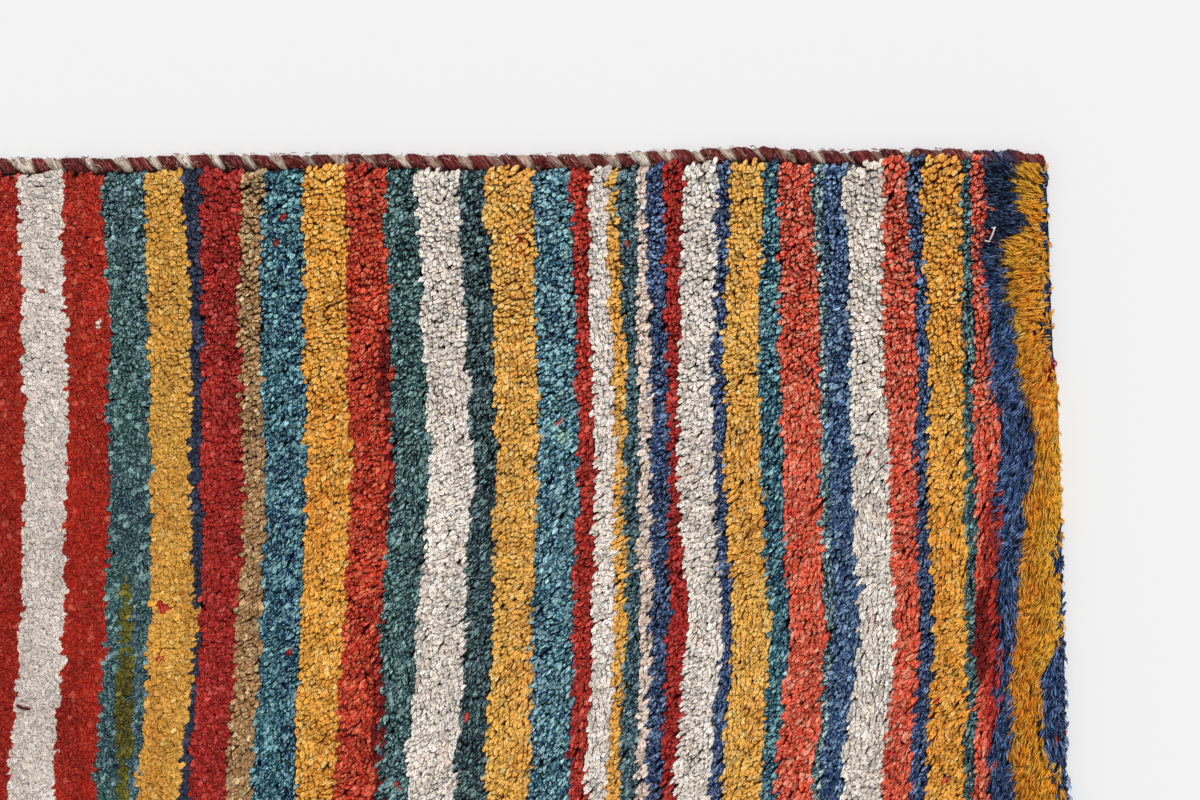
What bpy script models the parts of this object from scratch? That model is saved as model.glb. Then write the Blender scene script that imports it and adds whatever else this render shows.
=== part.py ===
"""A small hand-knotted striped gabbeh rug, lying flat with its pile up.

X runs along the warps, from end to end. Y runs along the rows of knots, from one
overcast side to the other. Z is up. The origin is on the floor, under the middle of
the rug. Everything is in metres.

The rug is three pieces: the knotted field with its pile, and the thick cord of
overcast warps down each of its two long sides.
"""

import math

import bmesh
import bpy

# ---------------------------------------------------------------- sizes
LENGTH = 0.930  # end to end, over the longest warp
WIDTH = 0.625  # side to side, over both overcast cords

FIELD_HEIGHT = 0.0120  # foundation and clipped pile together
SHAG_HEIGHT = 0.0150  # over the last rows, where the pile was left long
SHAG_REACH = 0.075  # how far the long pile runs in from its end
SHAG_BLEND = 0.030  # over this it comes down to the clipped height
PILE_ROUND = 0.0040  # radius where the pile's top turns down at the edges
RELIEF = 0.0004  # how much the pile's top rises and falls

CORD_WIDE = 0.0108  # an overcast cord, lying on the floor
CORD_HIGH = 0.0090
CORD_SHORT = 0.0015  # how far a cord stops short of the field's end
GAP = 0.0004  # between a cord and the field

STEPS_ALONG = 44  # sections of the field along X
STEPS_ACROSS = 24  # and along Y

# How far each edge lies inside the rug's greatest length or width. A rug made on
# a ground loom is never quite square, and its sides draw in and out.
#             x        inset
FAR_SIDE = (
    (-0.465, 0.0060),
    (-0.350, 0.0078),
    (-0.246, 0.0078),
    (-0.185, 0.0074),
    (-0.115, 0.0052),
    (-0.002, 0.0048),
    (0.072, 0.0056),
    (0.152, 0.0048),
    (0.202, 0.0022),
    (0.249, 0.0000),
    (0.314, 0.0025),
    (0.370, 0.0015),
    (0.418, 0.0024),
    (0.465, 0.0060),
)
NEAR_SIDE = (
    (-0.465, 0.0050),
    (-0.300, 0.0022),
    (-0.180, 0.0010),
    (-0.020, 0.0040),
    (0.140, 0.0052),
    (0.300, 0.0024),
    (0.465, 0.0040),
)
#             y        inset
SHAG_END = (
    (-0.310, 0.0044),
    (-0.220, 0.0008),
    (-0.140, 0.0000),
    (-0.086, 0.0024),
    (-0.059, 0.0022),
    (0.034, 0.0043),
    (0.088, 0.0052),
    (0.141, 0.0068),
    (0.188, 0.0108),
    (0.234, 0.0126),
    (0.310, 0.0150),
)
PLAIN_END = (
    (-0.310, 0.0030),
    (-0.180, 0.0000),
    (-0.040, 0.0022),
    (0.090, 0.0010),
    (0.200, 0.0036),
    (0.310, 0.0052),
)


# ---------------------------------------------------------------- shape rules
def inset_at(table, place):
    """The inset at a place along an edge, eased from one row of its table to the next."""
    if place <= table[0][0]:
        return table[0][1]
    for (start, a), (end, b) in zip(table, table[1:]):
        if place <= end:
            share = (place - start) / (end - start)
            return a + (b - a) * (1 - math.cos(math.pi * share)) / 2
    return table[-1][1]


def cord_line(side, x):
    """The middle of an overcast cord: side is +1 for the far one and -1 for the near one."""
    table = FAR_SIDE if side > 0 else NEAR_SIDE
    return side * (WIDTH / 2 - CORD_WIDE / 2 - inset_at(table, x))


def field_side(side, x):
    """The field's own edge, just inside its cord."""
    return cord_line(side, x) - side * (CORD_WIDE / 2 + GAP)


def end_line(end, y):
    """The field's end: +1 is the shaggy one."""
    table = SHAG_END if end > 0 else PLAIN_END
    return end * (LENGTH / 2 - inset_at(table, y))


def in_field(along, across):
    """The point of the field at these shares of its length and width, from 0 to 1."""
    x, y = 0.0, 0.0
    for _ in range(6):  # the sides depend on x and the ends on y
        low, high = field_side(-1, x), field_side(1, x)
        y = low + (high - low) * across
        left, right = end_line(-1, y), end_line(1, y)
        x = left + (right - left) * along
    return x, y


def pile_height(x, y):
    """Clipped over most of the rug, and longer near the shaggy end."""
    inward = end_line(1, y) - x
    share = min(max((SHAG_REACH + SHAG_BLEND - inward) / SHAG_BLEND, 0.0), 1.0)
    rise = (SHAG_HEIGHT - FIELD_HEIGHT) * share * share * (3 - 2 * share)
    relief = RELIEF * (math.sin(41 * x + 9 * y) + math.sin(23 * y - 13 * x))
    return FIELD_HEIGHT + rise + relief


# ---------------------------------------------------------------- Blender helpers
def clear_scene():
    for obj in list(bpy.data.objects):
        bpy.data.objects.remove(obj, do_unlink=True)


def wool(name, colour, roughness):
    material = bpy.data.materials.new(name)
    material.use_nodes = True
    shader = material.node_tree.nodes["Principled BSDF"]
    shader.inputs["Base Color"].default_value = (*colour, 1.0)
    shader.inputs["Roughness"].default_value = roughness
    shader.inputs["Metallic"].default_value = 0.0
    material.diffuse_color = (*colour, 1.0)
    return material


def link(name, data, material):
    obj = bpy.data.objects.new(name, data)
    data.materials.append(material)
    bpy.context.scene.collection.objects.link(obj)
    return obj


# ---------------------------------------------------------------- the pieces
def make_field(material):
    """Foundation and pile in one: flat beneath, and rounded down at all four edges."""
    bm = bmesh.new()
    bmesh.ops.create_grid(
        bm, x_segments=STEPS_ALONG, y_segments=STEPS_ACROSS, size=0.5
    )
    for v in bm.verts:
        x, y = in_field(v.co.x + 0.5, v.co.y + 0.5)
        v.co = (x, y, 0.0)
    made = bmesh.ops.extrude_face_region(bm, geom=bm.faces[:])
    for v in made["geom"]:
        if isinstance(v, bmesh.types.BMVert):
            v.co.z = FIELD_HEIGHT
    bmesh.ops.recalc_face_normals(bm, faces=bm.faces[:])
    rim = [
        e
        for e in bm.edges
        if all(v.co.z > FIELD_HEIGHT / 2 for v in e.verts)
        and any(abs(f.normal.z) < 0.5 for f in e.link_faces)
    ]
    bmesh.ops.bevel(
        bm,
        geom=rim,
        offset=PILE_ROUND,
        offset_type="OFFSET",
        segments=3,
        profile=0.5,
        affect="EDGES",
    )
    for v in bm.verts:
        if v.co.z > 1e-6:
            v.co.z *= pile_height(v.co.x, v.co.y) / FIELD_HEIGHT
    mesh = bpy.data.meshes.new("rug_field")
    bm.to_mesh(mesh)
    bm.free()
    mesh.shade_smooth()
    mesh.set_sharp_from_angle(angle=math.radians(50))
    return link("rug_field", mesh, material)


def make_cord_section():
    """The cord's section: round above, and flat where it lies on the floor."""
    half, sides = CORD_WIDE / 2, 9
    curve = bpy.data.curves.new("cord_section", "CURVE")
    curve.dimensions = "2D"
    spline = curve.splines.new("POLY")
    points = [(-half * 0.62, 0.0)]
    for i in range(sides):
        turn = math.radians(192 - 204 * i / (sides - 1))
        rise = CORD_HIGH * 0.42
        up = CORD_HIGH - rise
        points.append((half * math.cos(turn), rise + up * math.sin(turn)))
    points.append((half * 0.62, 0.0))
    spline.points.add(len(points) - 1)
    for point, (across, up) in zip(spline.points, points):
        point.co = (across, up, 0.0, 1.0)
    spline.use_cyclic_u = True
    section = bpy.data.objects.new("cord_section", curve)
    section.hide_render = True
    section.display_type = "WIRE"
    bpy.context.scene.collection.objects.link(section)
    return section


def make_cord(name, side, section, material):
    """The overcast cord that binds one long side."""
    curve = bpy.data.curves.new(name, "CURVE")
    curve.dimensions = "3D"
    curve.twist_mode = "Z_UP"
    curve.bevel_mode = "OBJECT"
    curve.bevel_object = section
    curve.use_fill_caps = True
    spline = curve.splines.new("POLY")
    steps = 2 * STEPS_ALONG
    spline.points.add(steps)
    corner = side * (WIDTH / 2 - CORD_WIDE)
    left = end_line(-1, corner) + CORD_SHORT
    right = end_line(1, corner) - CORD_SHORT
    for i, point in enumerate(spline.points):
        x = left + (right - left) * i / steps
        point.co = (x, cord_line(side, x), 0.0, 1.0)
    return link(name, curve, material)


def main():
    clear_scene()
    pile = wool("striped_wool", (0.36, 0.17, 0.09), 0.9)
    binding = wool("overcast_wool", (0.12, 0.02, 0.022), 0.85)
    make_field(pile)
    section = make_cord_section()
    make_cord("overcast_far", 1, section, binding)
    make_cord("overcast_near", -1, section, binding)


main()
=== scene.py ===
"""The looks of a small hand-knotted gabbeh rug: clipped tufts, a shaggy end and overcast sides.

Everything is in metres. X runs along the warps, Y along the rows of knots, and Z is up.
The pieces are the ground (the cloth that the knots are tied into), the clipped pile in
five strips, the long pile at the shaggy end, and the overcast cord down each side.
"""

import math

import bpy
import numpy as np
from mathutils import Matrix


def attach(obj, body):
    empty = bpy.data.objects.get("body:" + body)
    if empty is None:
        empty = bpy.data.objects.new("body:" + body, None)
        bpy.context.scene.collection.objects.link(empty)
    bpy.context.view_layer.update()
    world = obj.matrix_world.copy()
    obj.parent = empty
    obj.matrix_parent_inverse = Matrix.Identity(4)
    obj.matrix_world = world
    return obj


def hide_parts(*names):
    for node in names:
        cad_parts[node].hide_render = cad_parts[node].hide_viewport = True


# ---------------------------------------------------------------- sizes, as in the CAD
LENGTH = 0.930
WIDTH = 0.625
CORD_WIDE = 0.0108
CORD_HIGH = 0.0090
CORD_SHORT = 0.0015
GAP = 0.0004
MM = 0.001

#             x        inset
FAR_SIDE = (
    (-0.465, 0.0060),
    (-0.350, 0.0078),
    (-0.246, 0.0078),
    (-0.185, 0.0074),
    (-0.115, 0.0052),
    (-0.002, 0.0048),
    (0.072, 0.0056),
    (0.152, 0.0048),
    (0.202, 0.0022),
    (0.249, 0.0000),
    (0.314, 0.0025),
    (0.370, 0.0015),
    (0.418, 0.0024),
    (0.465, 0.0060),
)
NEAR_SIDE = (
    (-0.465, 0.0050),
    (-0.300, 0.0022),
    (-0.180, 0.0010),
    (-0.020, 0.0040),
    (0.140, 0.0052),
    (0.300, 0.0024),
    (0.465, 0.0040),
)
#             y        inset
SHAG_END = (
    (-0.310, 0.0044),
    (-0.220, 0.0008),
    (-0.140, 0.0000),
    (-0.086, 0.0024),
    (-0.059, 0.0022),
    (0.034, 0.0043),
    (0.088, 0.0052),
    (0.141, 0.0068),
    (0.188, 0.0108),
    (0.234, 0.0126),
    (0.310, 0.0150),
)
PLAIN_END = (
    (-0.310, 0.0030),
    (-0.180, 0.0000),
    (-0.040, 0.0022),
    (0.090, 0.0010),
    (0.200, 0.0036),
    (0.310, 0.0052),
)

# ---------------------------------------------------------------- the pile
ROW = 0.0031  # from one row of knots to the next, along X
KNOT = 0.0031  # from one knot to the next, along Y
GROUND_HIGH = 0.0034
PILE_HIGH = 0.0120
SIDES = 6  # of a tuft's cap
STRIPS = 5

# ---------------------------------------------------------------- the wools
# A wool's colours are 8-bit screen values: its main and shaded dye, and its light fibres.
# "mottle" is the share of tufts in the light colour, "hair" how much light fibre shows in
# the rest, "crack" how deep the tufts part and so how much painted shade shows between
# them, "abrash" how much the dyeing drifts between main and shade, and "lift" how far its
# tufts stand over the others, in mm.
#                 main             shade            light          mottle hair crack abrash lift
WOOLS = {
    "red": ((169, 33, 21), (136, 24, 17), (208, 94, 74), 0.10, 0.8, 0.5, 0.8, 0.0),
    "madder": ((162, 34, 29), (124, 22, 22), (212, 90, 80), 0.16, 0.9, 0.75, 0.8, 0.0),
    "dark_red": ((176, 42, 34), (126, 26, 25), (220, 100, 82), 0.20, 0.9, 0.8, 0.7, -0.1),
    "maroon": ((114, 27, 26), (84, 17, 19), (160, 62, 54), 0.12, 0.6, 0.6, 0.5, -0.2),
    "coral_red": ((199, 54, 35), (158, 31, 25), (244, 126, 92), 0.24, 0.9, 0.9, 0.9, 0.1),
    "coral": ((238, 86, 58), (198, 53, 37), (253, 172, 142), 0.24, 0.9, 0.9, 0.9, 0.1),
    "ivory": ((233, 221, 210), (216, 202, 190), (247, 242, 236), 0.15, 0.4, 0.20, 0.6, 0.1),
    "plain_ivory": ((223, 210, 200), (206, 191, 181), (238, 232, 226), 0.15, 0.4, 0.26, 0.6, 0.1),
    "grey_ivory": ((242, 229, 216), (210, 196, 183), (250, 245, 238), 0.22, 0.6, 0.62, 0.9, 0.1),
    "beige": ((238, 213, 195), (210, 182, 165), (250, 240, 230), 0.15, 0.6, 0.6, 0.5, 0.0),
    "yellow": ((248, 184, 82), (228, 147, 52), (253, 220, 144), 0.20, 0.7, 0.80, 0.7, 0.3),
    "warm_yellow": ((246, 174, 68), (226, 136, 40), (252, 212, 126), 0.20, 0.7, 0.85, 0.7, 0.3),
    "soft_yellow": ((219, 159, 66), (198, 130, 47), (238, 200, 120), 0.12, 0.7, 0.7, 0.7, 0.3),
    "gold": ((255, 190, 54), (255, 154, 34), (255, 214, 104), 0.24, 0.7, 0.7, 0.9, 0.3),
    "khaki": ((182, 132, 86), (142, 101, 62), (226, 200, 154), 0.24, 0.8, 1.0, 0.6, 0.0),
    "teal": ((42, 71, 72), (28, 47, 62), (150, 188, 186), 0.26, 1.0, 1.0, 1.0, -0.1),
    "slate_teal": ((57, 82, 89), (36, 56, 68), (148, 180, 186), 0.26, 1.0, 1.0, 0.8, -0.1),
    "dark_teal": ((33, 50, 58), (23, 36, 48), (140, 170, 172), 0.26, 1.0, 1.1, 0.8, -0.2),
    "flecked_teal": ((50, 86, 98), (34, 60, 87), (214, 238, 230), 0.34, 1.0, 1.2, 0.7, -0.2),
    "petrol": ((36, 79, 98), (19, 48, 84), (154, 208, 212), 0.32, 1.0, 1.2, 1.1, 0.0),
    "light_petrol": ((46, 94, 116), (26, 60, 98), (178, 224, 228), 0.38, 1.0, 1.2, 1.1, 0.0),
    "indigo": ((43, 70, 114), (29, 49, 91), (156, 188, 218), 0.26, 1.0, 1.1, 0.9, -0.1),
    "navy": ((40, 59, 101), (28, 41, 76), (146, 170, 206), 0.20, 1.0, 1.1, 0.9, -0.3),
    "deep_navy": ((27, 53, 95), (16, 33, 66), (126, 154, 200), 0.22, 0.9, 1.0, 0.9, -0.2),
    "violet_navy": ((41, 50, 67), (28, 37, 52), (92, 96, 122), 0.12, 0.9, 0.8, 0.9, -0.4),
    "olive": ((96, 94, 34), (62, 54, 26), (152, 144, 68), 0.20, 0.9, 1.0, 0.9, 0.0),
    "aqua": ((140, 186, 170), (108, 154, 144), (206, 236, 222), 0.30, 0.7, 0.9, 0.3, 0.1),
    "white": ((255, 253, 250), (250, 247, 243), (255, 255, 255), 0.10, 0.2, 0.3, 0.1, 0.3),
    "binding": ((98, 27, 28), (60, 16, 19), (180, 112, 104), 0.08, 0.6, 1.0, 0.9, 0.0),
    "wrap": ((238, 224, 202), (206, 188, 166), (250, 244, 234), 0.18, 0.8, 1.0, 0.6, 0.0),
    "fluff": ((196, 126, 118), (166, 94, 90), (228, 172, 162), 0.20, 0.8, 0.5, 0.6, 0.0),
    "brown_wrap": ((192, 154, 134), (146, 108, 92), (230, 202, 182), 0.20, 0.8, 1.0, 0.8, 0.0),
}

# The stripes left of the photographed corner, from the plain end: wool and width in mm.
HIDDEN_STRIPES = (
    ("navy", 13),
    ("yellow", 22),
    ("coral_red", 19),
    ("teal", 24),
    ("ivory", 26),
    ("madder", 21),
    ("petrol", 25),
    ("khaki", 10),
    ("yellow", 23),
    ("dark_teal", 17),
)
# The stripes of the corner: where each one's right-hand edge lies, in mm from the rug's
# middle, at five places across the rug.
PLACES = (0.273, 0.190, 0.090, -0.010, -0.107)
STRIPES = (
    ("red", -236, -234, -232, -236, -241),
    ("plain_ivory", -207, -205, -204, -206, -211),
    ("red", -181, -176, -176, -178, -184),
    ("teal", -152, -149, -148, -148, -156),
    ("soft_yellow", -126, -121, -122, -118, -128),
    ("violet_navy", -114, -114, -114, -114, -121),
    ("madder", -88, -90, -86, -91, -96),
    ("khaki", -73, -76, -71, -75, -80),
    ("petrol", -46, -46, -44, -48, -50),
    ("warm_yellow", -18, -18, -14, -20, -24),
    ("coral_red", 7, 11, 13, 4, 2),
    ("teal", 29, 34, 38, 30, 24),
    ("grey_ivory", 58, 62, 66, 61, 56),
    ("dark_teal", 75, 81, 82, 80, 76),
    ("yellow", 106, 109, 110, 106, 105),
    ("light_petrol", 132, 136, 137, 134, 132),
    ("dark_red", 144, 145, 149, 146, 143),
    ("ivory", 156, 160, 161, 161, 158),
    ("yellow", 163, 167, 168, 168, 165),
    ("slate_teal", 176, 176, 178, 178, 177),
    ("beige", 182, 184, 186, 185, 183),
    ("navy", 193, 196, 198, 197, 193),
    ("madder", 206, 204, 204, 210, 202),
    ("grey_ivory", 228, 226, 228, 233, 225),
    ("navy", 237, 234, 234, 240, 233),
    ("yellow", 260, 257, 258, 265, 260),
    ("petrol", 270, 271, 273, 278, 270),
    ("coral", 293, 297, 298, 302, 294),
    ("flecked_teal", 300, 302, 304, 308, 300),
    ("indigo", 314, 319, 320, 324, 314),
    ("grey_ivory", 340, 340, 344, 348, 342),
    ("coral", 356, 362, 362, 364, 360),
    ("navy", 365, 370, 370, 374, 370),
    ("warm_yellow", 392, 393, 394, 396, 394),
    ("teal", 398, 400, 402, 403, 401),
)
# The last stripes swing about more. After the yellow one comes a ragged blue edge.
#      y     coral  navy  yellow: each one's right-hand edge, in mm
LAST_STRIPES = (
    (0.310, 408, 422, 444),
    (0.272, 409, 426, 445),
    (0.262, 408, 433, 445),
    (0.251, 407, 418, 447),
    (0.235, 405, 416, 448),
    (0.210, 409, 420, 444),
    (0.193, 410, 424, 445),
    (0.165, 411, 427, 450),
    (0.147, 409, 431, 459),
    (0.133, 416, 437, 460),
    (0.110, 418, 440, 461),
    (0.077, 414, 434, 460),
    (0.057, 414, 432, 458),
    (0.037, 414, 430, 452),
    (0.020, 414, 431, 456),
    (-0.017, 415, 426, 456),
    (-0.033, 413, 425, 448),
    (-0.050, 412, 423, 443),
    (-0.083, 412, 424, 445),
    (-0.100, 412, 424, 450),
    (-0.125, 412, 427, 457),
    (-0.190, 410, 424, 458),
    (-0.250, 413, 421, 454),
    (-0.310, 411, 423, 457),
)
END_STRIPES = ("coral", "deep_navy", "gold", "deep_navy")

# Places inside a stripe that are another wool: a change of skein, a mend, a stray knot.
# x and y in mm, half the size of the place along each, and the share of tufts changed.
#        wool      x     y    half x  half y  share
PATCHES = (
    ("slate_teal", -158.0, -60.0, 4.4, 76.0, 0.75),
    ("slate_teal", -166.0, 258.0, 10.0, 60.0, 0.55),
    ("olive", -165.0, -60.0, 5.4, 80.0, 0.9),
    ("maroon", 7, 165, 4.5, 30, 0.9),
    ("maroon", 10, 105, 3, 50, 0.5),
    ("maroon", 4, -60, 4, 90, 0.45),
    ("dark_red", 411, 0, 5, 90, 1),
    ("maroon", 406, -8, 5, 34, 1),
    ("red", -219.7, 216.7, 1.8, 1.8, 1),
    ("red", -56.3, 266.0, 1.8, 1.8, 1),
    ("red", -64.0, 249.0, 2.2, 2.0, 1),
    ("red", -50.3, 144.0, 1.6, 2.0, 1),
    ("red", -55.0, -24.0, 2.0, 3.0, 1),
    ("coral_red", 169.7, 249.3, 2.6, 2.2, 1),
    ("coral", 123.7, 126.7, 2.0, 2.0, 1),
    ("aqua", 126.0, 122.0, 6.0, 5.0, 0.7),
    ("aqua", 122.0, 146.0, 6.0, 8.0, 0.4),
    ("dark_red", 62.3, -67.3, 1.6, 2.4, 0.7),
    ("coral", 19.0, -112.0, 2.2, 2.2, 1),
    ("maroon", 331.7, 110.0, 1.4, 2.4, 0.7),
    ("beige", 331.7, -7.0, 2.6, 10.0, 0.6),
    ("beige", 217.0, -10.0, 3.0, 10.0, 0.6),
    ("madder", -140.0, 7.0, 3.4, 3.0, 1),
    ("dark_red", -141.3, -27.2, 2.6, 2.6, 1),
    ("coral_red", 378.3, -57.0, 2.2, 5.0, 0.7),
    ("coral_red", 381.7, -107.0, 2.0, 2.6, 1),
    ("coral_red", 99.7, 252.0, 2.4, 3.4, 0.7),
    ("beige", -183.0, 195.3, 2.0, 4.0, 0.7),
    ("beige", 55.0, -23.0, 6.0, 8.0, 0.5),
    ("beige", 48.3, -90.0, 7.0, 12.0, 0.6),
    ("beige", 211.7, 97.0, 5.0, 8.0, 0.6),
    ("deep_navy", 462.0, 240.0, 2.0, 10.0, 1),
    ("deep_navy", 450.0, 206.0, 5.0, 12.0, 1),
    ("indigo", 452.0, 177.0, 5.0, 6.0, 1),
    ("coral_red", 452.5, 163.0, 5.5, 7.5, 1),
    ("red", 462.0, -78.0, 1.8, 4.0, 1),
    ("madder", 452.0, -86.0, 1.6, 2.0, 1),
)


# ---------------------------------------------------------------- small helpers
def linear(colour):
    """8-bit screen values to the renderer's linear ones."""
    c = np.asarray(colour, float) / 255
    return np.where(c <= 0.04045, c / 12.92, ((c + 0.055) / 1.055) ** 2.4)


def noise(x, y, size, seed):
    """Smooth noise from -1 to 1 whose features have this size, or these sizes along x and y."""
    table = np.random.default_rng(seed).uniform(-1, 1, (256, 256))
    wide, tall = size if isinstance(size, tuple) else (size, size)
    u, v = np.broadcast_arrays(np.asarray(x) / wide + 900, np.asarray(y) / tall + 900)
    i, j = np.floor(u).astype(int), np.floor(v).astype(int)
    fu, fv = u - i, v - j
    fu, fv = fu * fu * (3 - 2 * fu), fv * fv * (3 - 2 * fv)
    near = table[i % 256, j % 256] * (1 - fu) + table[(i + 1) % 256, j % 256] * fu
    j = j + 1
    far = table[i % 256, j % 256] * (1 - fu) + table[(i + 1) % 256, j % 256] * fu
    return near * (1 - fv) + far * fv


def eased(table, place):
    """The inset at places along an edge, eased from one row of its table to the next."""
    at, inset = np.array(table).T
    place = np.asarray(place, float)
    k = np.clip(np.searchsorted(at, place) - 1, 0, len(at) - 2)
    share = np.clip((place - at[k]) / (at[k + 1] - at[k]), 0, 1)
    return inset[k] + (inset[k + 1] - inset[k]) * (1 - np.cos(np.pi * share)) / 2


def cord_line(side, x):
    table = FAR_SIDE if side > 0 else NEAR_SIDE
    return side * (WIDTH / 2 - CORD_WIDE / 2 - eased(table, x))


def field_side(side, x):
    return cord_line(side, x) - side * (CORD_WIDE / 2 + GAP)


def end_line(end, y):
    table = SHAG_END if end > 0 else PLAIN_END
    return end * (LENGTH / 2 - eased(table, y))


def in_field(along, across):
    """The points of the field at these shares of its length and width, from 0 to 1."""
    along, across = np.broadcast_arrays(along, across)
    x, y = np.zeros(along.shape), np.zeros(along.shape)
    for _ in range(6):
        y = field_side(-1, x) * (1 - across) + field_side(1, x) * across
        x = end_line(-1, y) * (1 - along) + end_line(1, y) * along
    return x, y


# ---------------------------------------------------------------- the stripes
def drawn_back(y):
    """How far the lean of the pile draws its stripes towards the plain end."""
    return np.interp(y, (-0.090, -0.030), (0.5, 1.5)) * MM


def stripe_names():
    names = [name for name, _ in HIDDEN_STRIPES] + [row[0] for row in STRIPES]
    return names + list(END_STRIPES)


def stripe_edges(y):
    """Where each stripe gives way to the next, for each y: one row for each edge."""
    y = np.asarray(y, float)
    far_to_near = np.array(PLACES)[::-1]
    edges = []
    reach = -LENGTH / 2
    for k, (_, width) in enumerate(HIDDEN_STRIPES):
        reach += width * MM
        sway = 2.4 * noise(y, k * 9.7, 0.090, 11)
        edges.append(reach + sway * MM)
    for row in STRIPES:
        edges.append(np.interp(y, far_to_near, np.array(row[:0:-1]) * MM))
    bends = np.array(LAST_STRIPES)[::-1]
    for column in (1, 2, 3):
        edges.append(np.interp(y, bends[:, 0], bends[:, column] * MM))
    hidden = np.clip((-0.107 - y) / 0.06, 0, 1)
    for k, edge in enumerate(edges):
        wander = 1.1 * noise(y, k * 7.3, 0.022, 12) + 0.7 * noise(y, k * 5.1, 0.008, 13)
        sway = 3.2 * noise(y, k * 0.35, 0.080, 14) * hidden
        teeth = -1.8 * np.clip(noise(y, k * 3.7, 0.0042, 17) - 0.45, 0, 1)
        edges[k] = edge + (wander + sway + teeth) * MM
    return np.maximum.accumulate(np.array(edges), axis=0) + drawn_back(y)


def wool_at(x, y):
    """The index of the wool at each point."""
    names = list(WOOLS)
    order = np.array([names.index(name) for name in stripe_names()])
    found = order[(x[None, :] > stripe_edges(y)).sum(axis=0)]
    ragged = 1 + 0.35 * noise(x, y, 0.004, 15)
    grain = 0.5 + 0.6 * noise(x, y, 0.0017, 16)
    for name, px, py, half_x, half_y, share in PATCHES:
        along = (x - drawn_back(y)) / MM - px
        off = (along / half_x) ** 2 + ((y / MM - py) / half_y) ** 2
        changed = (off < ragged) & (grain < share + 1.5 * (share == 1))
        found = np.where(changed, names.index(name), found)
    return found


def column(k, wool):
    """A column of the wools' table, for each of these wools."""
    return np.array([row[k] for row in WOOLS.values()])[wool]


def wool_colours(x, y, wool, rng, even=0.0):
    """A tuft's own colour and that of its light fibres.

    The dyeing drifts from row to row, and each tuft differs a little: the less so, the
    more even the pile is.
    """
    varied = 1 - 0.7 * np.broadcast_to(even, x.shape)
    main, shade, light = (
        np.array([linear(row[k]) for row in WOOLS.values()])[wool] for k in range(3)
    )
    mottle, hair, abrash = (column(k, wool) for k in (3, 4, 6))
    drift = 0.6 * noise(x, y, (0.011, 0.070), 21) + 0.5 * noise(x, y, 0.016, 22)
    drift = drift + varied * rng.normal(0, 0.22, len(x))
    drift = np.clip(0.42 + abrash * drift, 0, 1)[:, None]
    colour = main * (1 - drift) + shade * drift
    flecked = (rng.random(len(x)) < mottle * varied) * rng.uniform(0.1, 0.8, len(x))
    colour = colour * (1 - flecked[:, None]) + light * flecked[:, None]
    hair = (hair * rng.uniform(0.5, 1.1, len(x)))[:, None]
    light = colour * (1 - hair) + light * hair
    own = rng.normal(0, 0.12, len(x)) * varied
    own = np.exp(own * (1 + 0.5 * np.clip((x + 0.1) / 0.3, 0, 1)))[:, None]
    own = own * np.exp(rng.normal(0, 0.016, len(x))[:, None] * [1.0, 0.1, -1.2])
    return colour * own, light * own


# ---------------------------------------------------------------- making meshes
def make_mesh(name, points, faces, coats, uvs, material, crease=None):
    """A mesh of triangles.

    coats holds what the material reads for each point or corner: "wool" and "light" are
    colours, "fibre" is a place along and across the strand and in the yarn, and "reach" is
    0 at a tuft's crown, 1 at its rim and 2 at its root; the material paints shade from it,
    in the parting past the rim and deeper towards the root. uvs has a place for each corner.
    """
    mesh = bpy.data.meshes.new(name)
    count = len(faces)
    mesh.vertices.add(len(points))
    mesh.vertices.foreach_set("co", np.ascontiguousarray(points, np.float32).ravel())
    mesh.loops.add(3 * count)
    mesh.loops.foreach_set(
        "vertex_index", np.ascontiguousarray(faces, np.int32).ravel()
    )
    mesh.polygons.add(count)
    mesh.polygons.foreach_set("loop_start", np.arange(0, 3 * count, 3, dtype=np.int32))
    mesh.update(calc_edges=True)
    mesh.validate()
    for coat, values in coats.items():
        domain = "POINT" if len(values) == len(points) else "CORNER"
        if coat in ("wool", "light"):
            made = mesh.color_attributes.new(coat, "FLOAT_COLOR", domain)
            rgba = np.ones((len(values), 4), np.float32)
            over = np.maximum(values.max(axis=1, keepdims=True) / 0.93, 1)
            rgba[:, :3] = values / over
            made.data.foreach_set("color", rgba.ravel())
        elif coat == "fibre":
            made = mesh.attributes.new(coat, "FLOAT_VECTOR", domain)
            made.data.foreach_set(
                "vector", np.ascontiguousarray(values, np.float32).ravel()
            )
        else:
            made = mesh.attributes.new(coat, "FLOAT", domain)
            made.data.foreach_set("value", np.ascontiguousarray(values, np.float32))
    layer = mesh.uv_layers.new(name="OFBake")
    layer.data.foreach_set("uv", np.ascontiguousarray(uvs, np.float32).ravel())
    mesh.shade_smooth()
    if crease:
        mesh.set_sharp_from_angle(angle=math.radians(crease))
    mesh.materials.append(material)
    obj = bpy.data.objects.new(name, mesh)
    bpy.context.scene.collection.objects.link(obj)
    return obj


def patch_uvs(count, local):
    """Gives each of the repeated shapes its own small square of the UV map.

    local holds the UVs of one shape's corners, from 0 to 1.
    """
    across = math.ceil(math.sqrt(count))
    k = np.arange(count)
    corner = np.stack([k % across, k // across], axis=1)
    return ((corner[:, None, :] + local[None, :, :]) / across).reshape(-1, 2)


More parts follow.
